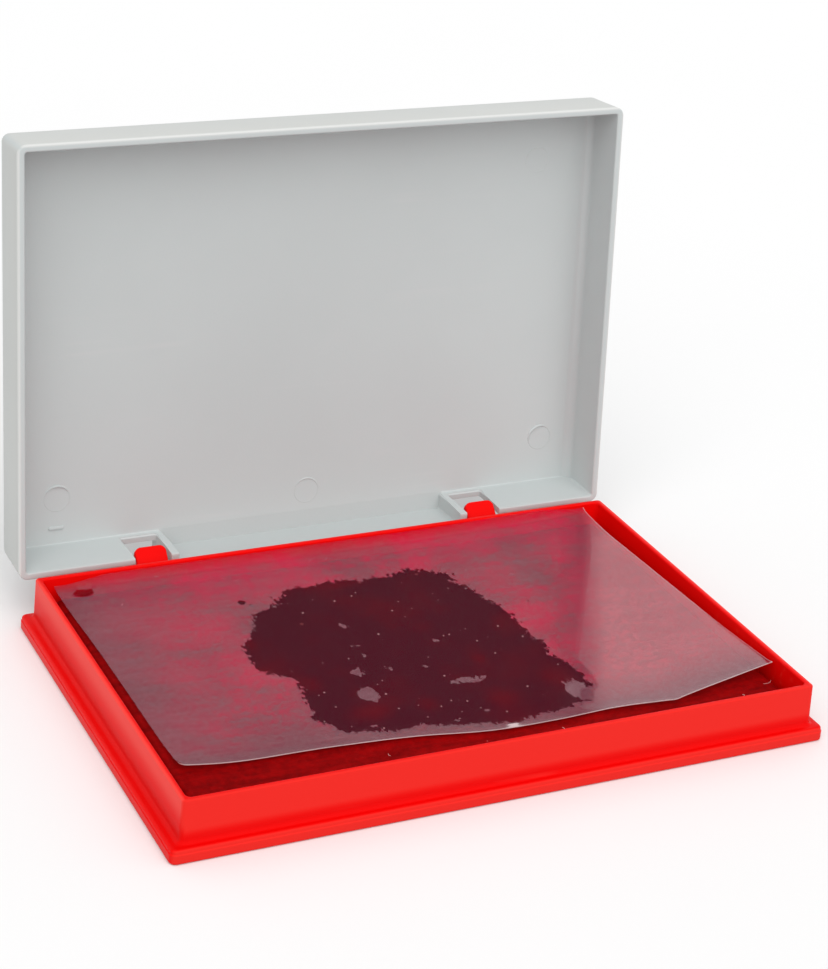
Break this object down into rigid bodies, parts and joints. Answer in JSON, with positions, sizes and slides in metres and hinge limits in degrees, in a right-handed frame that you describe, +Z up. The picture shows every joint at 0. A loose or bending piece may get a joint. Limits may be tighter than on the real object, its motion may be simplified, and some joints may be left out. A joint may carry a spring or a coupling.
{
  "type": "stamp pad",
  "caption": "Hinged plastic stamp pad, standing open: flanged tray with a cloth-wrapped felt ink pad under a loose protective film, and a hollow lid on hinge lugs.",
  "frame": {"origin": "middle of the tray's flat underside, on the table", "axes": "+X to the right along the pad's long side, +Y from the open front to the hinge side, +Z up"},
  "size_m": [0.1224, 0.1008, 0.0898],
  "materials": {
    "tray_plastic": "red moulded plastic, satin",
    "lid_plastic": "light grey moulded plastic, satin",
    "plate_plastic": "plain moulded sheet",
    "felt": "ink-soaked felt",
    "inked_cloth": "close-woven cloth, wet with red ink",
    "clear_film": "thin clear plastic film, ink-stained"
  },
  "bodies": {
    "base": {"tray": "tray_plastic", "backing_plate": "plate_plastic", "felt_core": "felt", "pad_cover_cloth": "inked_cloth"},
    "lid": {"lid": "lid_plastic"},
    "film": {"protective_film": "clear_film"}
  },
  "joints": [
    {"name": "lid_hinge", "type": "hinge", "parent": "base", "child": "lid", "pos_m": [0, 0.04445, 0.0048], "axis": [1, 0, 0], "range_deg": [0, 94.3]},
    {"name": "film_lift", "type": "slide", "parent": "base", "child": "film", "axis": [0, 0, 1], "range_m": [0, 0.06]}
  ]
}
